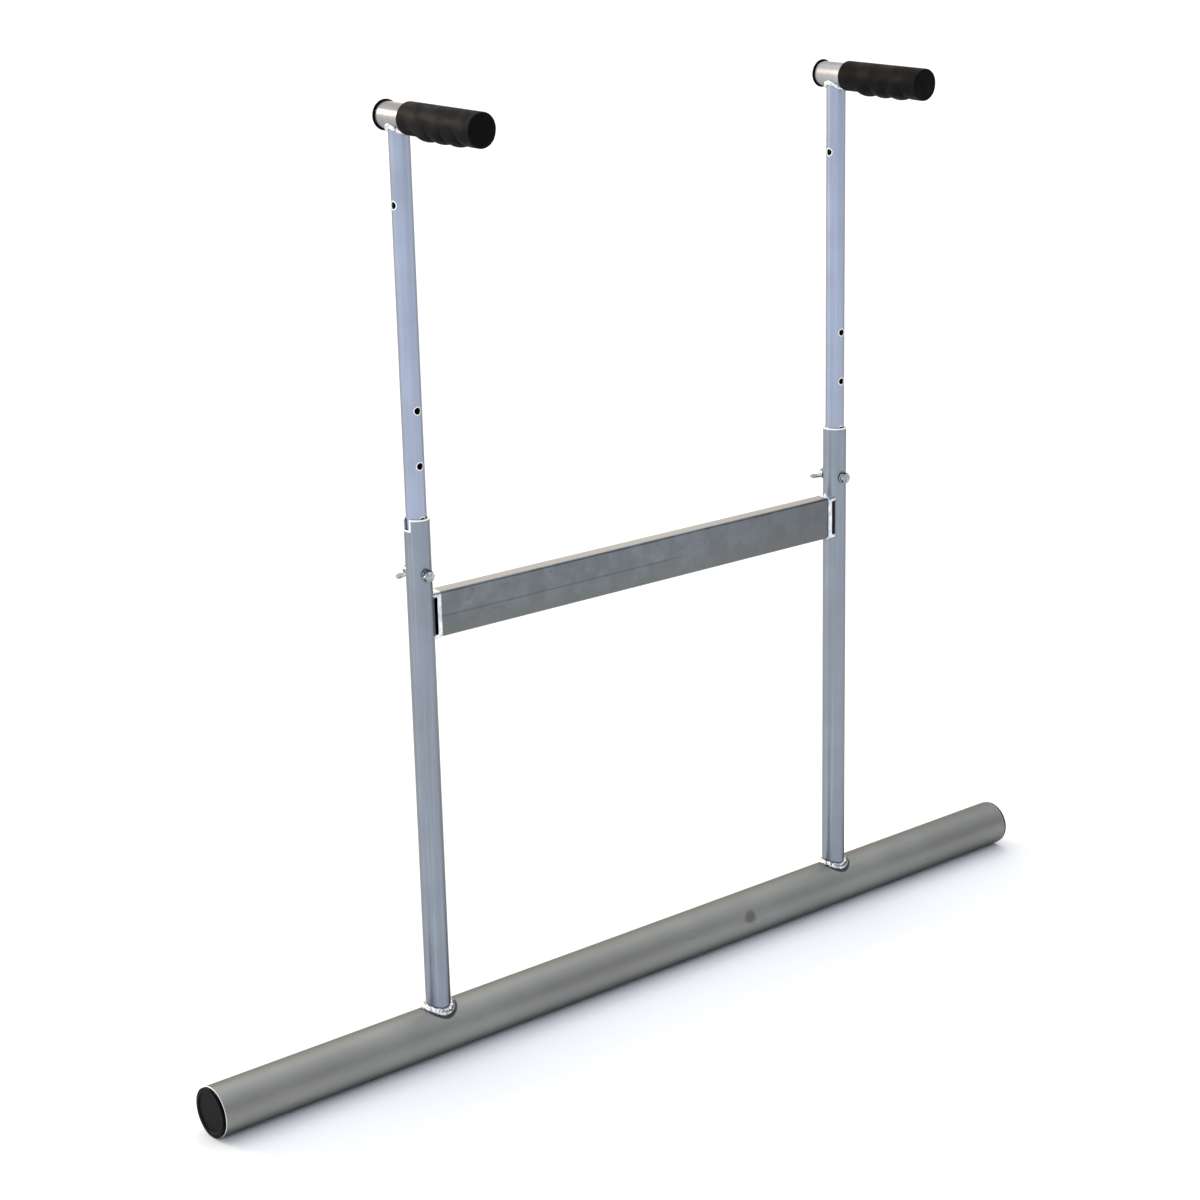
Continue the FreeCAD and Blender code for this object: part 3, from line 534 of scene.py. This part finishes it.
def weld_bead_tree():
    """Bead along a closed path: an oval section with overlapping ripples and a welder's unevenness."""
    tree, entry = new_tree("weld bead", {"Width": 0.01, "Height": 0.01, "Ripples": 40, "Ripple Height": 0.0004,
                                         "Lump Height": 0.0006, "Lump Size": 0.006, "Seed": 1})
    path = add(tree, "GeometryNodeMeshToCurve", None, {0: entry["Geometry"]}).outputs[0]
    path = add(tree, "GeometryNodeResampleCurve", {"mode": "LENGTH"},
               {"Curve": path, "Length": 0.35 * MM})
    along = add(tree, "GeometryNodeSplineParameter").outputs["Factor"]
    kept = add(tree, "GeometryNodeCaptureAttribute", {"domain": "POINT"})
    kept.capture_items.new("FLOAT", "Along")
    tree.links.new(path.outputs[0], kept.inputs[0])
    tree.links.new(along, kept.inputs[1])
    ring = add(tree, "GeometryNodeCurvePrimitiveCircle", None, {"Resolution": 40, "Radius": 1.0}).outputs[0]
    around = add(tree, "GeometryNodeSplineParameter").outputs["Factor"]
    kept_ring = add(tree, "GeometryNodeCaptureAttribute", {"domain": "POINT"})
    kept_ring.capture_items.new("FLOAT", "Around")
    tree.links.new(ring, kept_ring.inputs[0])
    tree.links.new(around, kept_ring.inputs[1])
    oval = add(tree, "ShaderNodeCombineXYZ", None, {0: entry["Height"], 1: entry["Width"], 2: 1.0})
    section = add(tree, "GeometryNodeTransform", None,
                  {"Geometry": kept_ring.outputs[0], "Scale": oval.outputs[0]}).outputs[0]
    tube = add(tree, "GeometryNodeCurveToMesh", None, {0: kept.outputs[0], 1: section}).outputs[0]
    bow = calc(tree, "COSINE", calc(tree, "MULTIPLY", kept_ring.outputs[1], math.tau))
    bow = calc(tree, "MULTIPLY", bow, 0.35)
    turns = calc(tree, "ADD", calc(tree, "MULTIPLY", kept.outputs[1], entry["Ripples"]), bow)
    wave = calc(tree, "FRACT", turns)
    scale_like = calc(tree, "POWER", wave, 0.6)
    place = add(tree, "GeometryNodeInputPosition").outputs[0]
    seed = calc(tree, "MULTIPLY", entry["Seed"], 7.31)
    lump_scale = calc(tree, "DIVIDE", 1.0, entry["Lump Size"])
    lumps = add(tree, "ShaderNodeTexNoise", {"noise_dimensions": "4D"},
                {"Vector": place, "W": seed, "Scale": lump_scale, "Detail": 2.0})
    lump = calc(tree, "MULTIPLY", calc(tree, "SUBTRACT", lumps.outputs[0], 0.5), entry["Lump Height"])
    lump = calc(tree, "MULTIPLY", lump, 2.0)
    rise = calc(tree, "ADD", calc(tree, "MULTIPLY", scale_like, entry["Ripple Height"]), lump)
    outward = add(tree, "GeometryNodeInputNormal").outputs[0]
    push = add(tree, "ShaderNodeVectorMath", {"operation": "SCALE"}, {0: outward, "Scale": rise}).outputs[0]
    moved = add(tree, "GeometryNodeSetPosition", None, {"Geometry": tube, "Offset": push}).outputs[0]
    return end_tree(tree, moved, entry)


def finger_lobe_tree():
    """Pulls the underside of a round grip down into a row of finger lobes with sharp valleys."""
    tree, entry = new_tree("finger lobes", {"Lobe Start": 0.026, "Lobe Pitch": 0.028, "Lobe Count": 4,
                                            "Lobe Drop": 0.004, "Front Drop": 0.002,
                                            "Grip Radius": 0.01925})
    place = add(tree, "GeometryNodeInputPosition").outputs[0]
    xyz = add(tree, "ShaderNodeSeparateXYZ", None, {0: place}).outputs
    steps = calc(tree, "DIVIDE", calc(tree, "SUBTRACT", xyz[1], entry["Lobe Start"]), entry["Lobe Pitch"])
    part = calc(tree, "FRACT", steps)
    last = calc(tree, "GREATER_THAN", steps, calc(tree, "SUBTRACT", entry["Lobe Count"], 0.5))
    in_front = calc(tree, "GREATER_THAN", steps, calc(tree, "SUBTRACT", entry["Lobe Count"], 1.0))
    less = calc(tree, "MULTIPLY", in_front, calc(tree, "SUBTRACT", entry["Lobe Drop"], entry["Front Drop"]))
    depth = calc(tree, "SUBTRACT", entry["Lobe Drop"], less)
    part = calc(tree, "ADD", calc(tree, "MULTIPLY", part, calc(tree, "SUBTRACT", 1.0, last)),
                calc(tree, "MULTIPLY", last, 0.5))
    arch = calc(tree, "MULTIPLY", calc(tree, "MULTIPLY", part, calc(tree, "SUBTRACT", 1.0, part)), 4.0)
    arch = calc(tree, "POWER", calc(tree, "MAXIMUM", arch, 0.0), 0.72)
    arch = calc(tree, "MULTIPLY", arch, calc(tree, "GREATER_THAN", steps, 0.0))
    level = calc(tree, "DIVIDE", xyz[2], entry["Grip Radius"])
    below = ramp(tree, level, 0.15, -0.6)
    drop = calc(tree, "MULTIPLY", calc(tree, "MULTIPLY", arch, below), depth)
    push = add(tree, "ShaderNodeCombineXYZ", None, {2: calc(tree, "MULTIPLY", drop, -1.0)}).outputs[0]
    moved = add(tree, "GeometryNodeSetPosition", None, {"Geometry": entry["Geometry"], "Offset": push})
    return end_tree(tree, moved.outputs[0], entry)


def screw_thread_tree():
    """Rolled thread: one ridge wound round a core, from the origin along +Z."""
    tree, entry = new_tree("screw thread", {"Length": 0.01, "Pitch": 0.00125, "Core Radius": 0.0034,
                                            "Ridge Height": 0.0006})
    turns = calc(tree, "DIVIDE", entry["Length"], entry["Pitch"])
    spiral = add(tree, "GeometryNodeCurveSpiral", None,
                 {"Resolution": 40, "Rotations": turns, "Start Radius": entry["Core Radius"],
                  "End Radius": entry["Core Radius"], "Height": entry["Length"]}).outputs[0]
    ridge = add(tree, "GeometryNodeCurvePrimitiveCircle", None,
                {"Resolution": 4, "Radius": entry["Ridge Height"]}).outputs[0]
    wound = add(tree, "GeometryNodeCurveToMesh", None, {0: spiral, 1: ridge, 2: True}).outputs[0]
    core = add(tree, "GeometryNodeMeshCylinder", {"fill_type": "NGON"},
               {"Vertices": 40, "Radius": entry["Core Radius"], "Depth": entry["Length"]}).outputs[0]
    half_length = calc(tree, "MULTIPLY", entry["Length"], 0.5)
    lift = add(tree, "ShaderNodeCombineXYZ", None, {2: half_length}).outputs[0]
    core = add(tree, "GeometryNodeTransform", None, {"Geometry": core, "Translation": lift}).outputs[0]
    joined = add(tree, "GeometryNodeJoinGeometry", None, {0: wound})
    tree.links.new(core, joined.inputs[0])
    tree.links.new(entry["Geometry"], joined.inputs[0])
    return end_tree(tree, joined.outputs[0], entry)


def loop_mesh(points):
    """Closed path as a mesh of edges."""
    mesh = bpy.data.meshes.new("path")
    count = len(points)
    mesh.from_pydata(points, [(i, (i + 1) % count) for i in range(count)], [])
    return mesh


def lathe(profile, segments):
    """Mesh turned about Z from (radius, height) points; a zero radius closes to one point."""
    verts, rows, faces = [], [], []
    for radius, height in profile:
        if radius < 1e-7:
            rows.append([len(verts)] * segments)
            verts.append((0, 0, height))
        else:
            rows.append(list(range(len(verts), len(verts) + segments)))
            for step in range(segments):
                turn = math.tau * step / segments
                verts.append((radius * math.cos(turn), radius * math.sin(turn), height))
    for low, high in zip(rows, rows[1:]):
        for step in range(segments):
            after = (step + 1) % segments
            face = []
            for index in (low[step], low[after], high[after], high[step]):
                if index not in face:
                    face.append(index)
            if len(face) > 2:
                faces.append(face)
    mesh = bpy.data.meshes.new("turned")
    mesh.from_pydata(verts, [], faces)
    mesh.update()
    return mesh


weld_tree = weld_bead_tree()
lobe_tree = finger_lobe_tree()
thread_tree = screw_thread_tree()


# ---------------------------------------------------------------- weld beads

def post_foot_path(centre_x):
    """Saddle where a sleeve post stands on the base tube."""
    points = []
    for step in range(PATH_STEPS):
        turn = math.tau * step / PATH_STEPS
        x, y = sleeve_r * math.cos(turn), sleeve_r * math.sin(turn)
        points.append((centre_x + x, y, base_r + math.sqrt(base_r ** 2 - y ** 2)))
    return points


def handle_saddle_path(side):
    """Saddle where an inner post meets the underside of its handle tube."""
    rear, front = end_centres("handle_tube_" + side)
    run = (front - rear).normalized()
    lean = math.atan2(-run.z, -run.y)
    axis_z = rear.z + run.z * (rear.y / -run.y)
    points = []
    for step in range(PATH_STEPS):
        turn = math.tau * step / PATH_STEPS
        x, y = inner_r * math.cos(turn), inner_r * math.sin(turn)
        drop = math.sqrt(handle_r ** 2 - x ** 2)
        points.append((post_centre(side) + x, y, axis_z + (y * math.sin(lean) - drop) / math.cos(lean)))
    return points


def weld(path, name, body, replaced, **sizes):
    """Weld bead along a path, in place of its frame node."""
    values = {"Material": finishes["weld"]}
    for label, size in sizes.items():
        values[label.replace("_", " ")] = size
    mesh = from_tree(loop_mesh(path), weld_tree, values, name)
    return finished(mesh, name, body, "weld", replaced)


for number, side in enumerate(SIDES):
    weld(post_foot_path(post_centre(side)), "foot_weld_bead_" + side, "frame", "post_weld_" + side,
         Width=5.0 * MM, Height=5.0 * MM, Ripples=44, Ripple_Height=0.5 * MM, Lump_Height=1.5 * MM,
         Lump_Size=12.0 * MM, Seed=3 + number)
    weld(handle_saddle_path(side), "handle_weld_bead_" + side, side + "_handle", "handle_weld_" + side,
         Width=3.3 * MM, Height=3.3 * MM, Ripples=40, Ripple_Height=0.3 * MM, Lump_Height=0.5 * MM,
         Lump_Size=5.0 * MM, Seed=11 + number)


# ---------------------------------------------------------------- grips

def grip_profile(length, radius, bore):
    """Side of the round grip: rear rim, long barrel, rounded nose and flat closed end."""
    rim, nose = REAR_RIM_RADIUS, NOSE_RADIUS
    points = [(bore, 0.9 * MM), (bore + 0.3 * MM, 0.15 * MM), (bore + 0.9 * MM, 0)]
    for step in range(7):
        turn = math.radians(90 * step / 6)
        points.append((radius - rim * (1 - math.sin(turn)), rim * (1 - math.cos(turn))))
    barrel_steps = 260
    for step in range(1, barrel_steps):
        points.append((radius, rim + (length - nose - rim) * step / barrel_steps))
    for step in range(13):
        turn = math.radians(90 * step / 12)
        points.append((radius - nose * (1 - math.cos(turn)), length - nose * (1 - math.sin(turn))))
    for step in range(1, 6):
        points.append(((radius - nose) * (1 - step / 5), length))
    return points


def grip(side):
    """Moulded grip: turned round, pulled down into its lobes, then laid along its handle tube."""
    tube_rear, tube_front = end_centres("handle_tube_" + side)
    run = (tube_front - tube_rear).normalized()
    low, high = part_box("grip_" + side)
    radius = (high[0] - low[0]) / 2
    body = lathe(grip_profile(GRIP_LENGTH, radius, handle_r), segments=128)
    body.transform(Matrix.Rotation(math.radians(-90), 4, "X"))
    values = {"Lobe Start": GRIP_LENGTH - LOBE_COUNT * LOBE_PITCH, "Lobe Pitch": LOBE_PITCH,
              "Lobe Count": LOBE_COUNT, "Lobe Drop": LOBE_DROP, "Front Drop": FRONT_LOBE_DROP,
              "Grip Radius": radius, "Material": finishes["grip"]}
    mesh = from_tree(body, lobe_tree, values, "moulded_grip_" + side)
    front_y = low[1] + radius * abs(run.z)
    at = tube_rear + run * ((tube_rear.y - front_y) / -run.y) - run * GRIP_LENGTH
    up = Vector((1, 0, 0)).cross(run).normalized()
    if up.z < 0:
        up = -up
    placing = Matrix((Vector((-1, 0, 0)), run, up)).transposed().to_4x4()
    placing.translation = at
    mesh.transform(placing)
    return finished(mesh, "moulded_grip_" + side, side + "_handle", "grip",
                    "grip_" + side, 40)


for side in SIDES:
    grip(side)


# ---------------------------------------------------------------- cast wing screws

def cast_copy(node, name, grain):
    """Copy of a frame node with its corners softened, as a casting comes out of its mould."""
    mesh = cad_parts[node].data.copy()
    shape = bmesh.new()
    shape.from_mesh(mesh)
    bmesh.ops.remove_doubles(shape, verts=shape.verts, dist=0.01 * MM)
    shape.to_mesh(mesh)
    shape.free()
    holder = bpy.data.objects.new("holder", mesh)
    bpy.context.scene.collection.objects.link(holder)
    remesh = holder.modifiers.new("grain", "REMESH")
    remesh.mode = "VOXEL"
    remesh.voxel_size = grain
    soften = holder.modifiers.new("soften", "SMOOTH")
    soften.factor = 0.5
    soften.iterations = 5
    bpy.context.view_layer.update()
    graph = bpy.context.evaluated_depsgraph_get()
    result = bpy.data.meshes.new_from_object(holder.evaluated_get(graph))
    result.name = name
    bpy.data.objects.remove(holder)
    return result


def stud_thread(side):
    """Rolled thread on the wing screw's end, where it stands out behind the hub."""
    empty = bpy.data.meshes.new("none")
    values = {"Length": THREAD_SHOWN, "Pitch": THREAD_PITCH, "Core Radius": THREAD_CORE_R,
              "Ridge Height": THREAD_RIDGE, "Material": finishes["zinc"]}
    mesh = from_tree(empty, thread_tree, values, "stud_thread_" + side)
    mesh.transform(Matrix.Rotation(math.radians(-90), 4, "X"))
    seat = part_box("wing_washer_" + side)[1][1]
    mesh.transform(Matrix.Translation((post_centre(side), seat + WING_HUB_DEPTH, lock_z)))
    return mesh


for side in SIDES:
    body = side + "_wing_screw"
    cast = cast_copy("wing_screw_" + side, "cast_wing_screw_" + side, CAST_GRAIN)
    finished(cast, "cast_wing_screw_" + side, body, "zinc", "wing_screw_" + side)
    thread = bpy.data.objects.new("stud_thread_" + side, stud_thread(side))
    bpy.context.scene.collection.objects.link(thread)
    thread.data.materials.clear()
    thread.data.materials.append(finishes["zinc"])
    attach(thread, body)


# ---------------------------------------------------------------- camera, floor and light

CAMERA_PLACE = (-1.98879, -2.34956, 1.43410)
CAMERA_AZIMUTH, CAMERA_ELEVATION, CAMERA_ROLL = -39.23, 16.43, -1.372      # degrees
CAMERA_LENS, CAMERA_SENSOR = 74.16, 36.0                                   # millimetres
CAMERA_REACH = 200.0
FLOOR_REACH = 400.0
ROOM_RIGHT = (0.85, -0.52, 0.0)
ROOM_BACK = (-0.1, 0.95, 0.3)


def camera():
    """Camera at the front left, a little above the handles, with a slight roll."""
    azimuth, elevation = math.radians(CAMERA_AZIMUTH), math.radians(CAMERA_ELEVATION)
    roll = math.radians(CAMERA_ROLL)
    right = Vector((math.cos(azimuth), math.sin(azimuth), 0))
    ahead = Vector((-math.sin(azimuth) * math.cos(elevation), math.cos(azimuth) * math.cos(elevation),
                    -math.sin(elevation)))
    up = right.cross(ahead)
    turned_right = right * math.cos(roll) + up * math.sin(roll)
    turned_up = up * math.cos(roll) - right * math.sin(roll)
    data = bpy.data.cameras.new("camera")
    data.sensor_width = CAMERA_SENSOR
    data.lens = CAMERA_LENS
    data.clip_end = CAMERA_REACH
    made = bpy.data.objects.new("camera", data)
    bpy.context.scene.collection.objects.link(made)
    turned = Matrix((turned_right, turned_up, -ahead)).transposed().to_4x4()
    turned.translation = Vector(CAMERA_PLACE)
    made.matrix_world = turned
    bpy.context.scene.camera = made


def sun(name, from_direction, strength, spread_deg, colour):
    """Soft distant light, so that the floor is lit evenly everywhere."""
    data = bpy.data.lights.new(name, "SUN")
    data.energy = strength
    data.angle = math.radians(spread_deg)
    data.color = srgb(colour)[:3]
    made = bpy.data.objects.new(name, data)
    bpy.context.scene.collection.objects.link(made)
    made.rotation_mode = "QUATERNION"
    made.rotation_quaternion = Vector(from_direction).to_track_quat("Z", "Y")


def floor():
    """Plain pale floor."""
    mesh = bpy.data.meshes.new("floor")
    far = FLOOR_REACH
    corners = [(-far, -far, 0), (far, -far, 0), (far, far, 0), (-far, far, 0)]
    mesh.from_pydata(corners, [], [(0, 1, 2, 3)])
    made = bpy.data.objects.new("floor", mesh)
    bpy.context.scene.collection.objects.link(made)
    material, tree, shader, _ = new_material("matt white floor")
    join_inputs(tree, shader, Base_Color=srgb("#F2F2F2"), Roughness=0.9)
    mesh.materials.append(material)


def surroundings():
    """Pale room: bright and warm behind, cool in front, and nearly black low down at the right."""
    world = bpy.data.worlds.new("studio")
    bpy.context.scene.world = world
    world.use_nodes = True
    tree = world.node_tree
    tree.nodes.clear()
    where = add(tree, "ShaderNodeTexCoord").outputs["Generated"]
    right = add(tree, "ShaderNodeVectorMath", {"operation": "DOT_PRODUCT"},
                {0: where, 1: ROOM_RIGHT}).outputs["Value"]
    behind = add(tree, "ShaderNodeVectorMath", {"operation": "DOT_PRODUCT"},
                 {0: where, 1: ROOM_BACK}).outputs["Value"]
    height = add(tree, "ShaderNodeSeparateXYZ", None, {0: where}).outputs[2]
    low_right = calc(tree, "MULTIPLY", ramp(tree, right, 0.0, 0.55), ramp(tree, height, 0.75, 0.3))
    cool = mix(tree, low_right, (0.80, 0.84, 0.92, 1.0), (0.03, 0.035, 0.04, 1.0))
    warm = mix(tree, ramp(tree, height, 0.2, 0.5), (1.9, 1.6, 1.28, 1.0), (1.3, 1.28, 1.22, 1.0))
    colour = mix(tree, ramp(tree, behind, 0.25, 0.8), cool, warm)
    back = add(tree, "ShaderNodeBackground", None, {"Color": colour, "Strength": 1.0})
    add(tree, "ShaderNodeOutputWorld", None, {"Surface": back.outputs[0]})


camera()
floor()
surroundings()
sun("overhead", (0.1, 0.2, 1.0), 0.8, 60, "#FFFFFF")
sun("front left", (-0.8, -0.5, 0.55), 0.55, 25, "#EAF0FF")
sun("rear left", (-0.38, 0.92, 0.28), 1.6, 16, "#FFE9D2")
bpy.context.scene.view_settings.view_transform = "Standard"
bpy.context.scene.view_settings.look = "None"
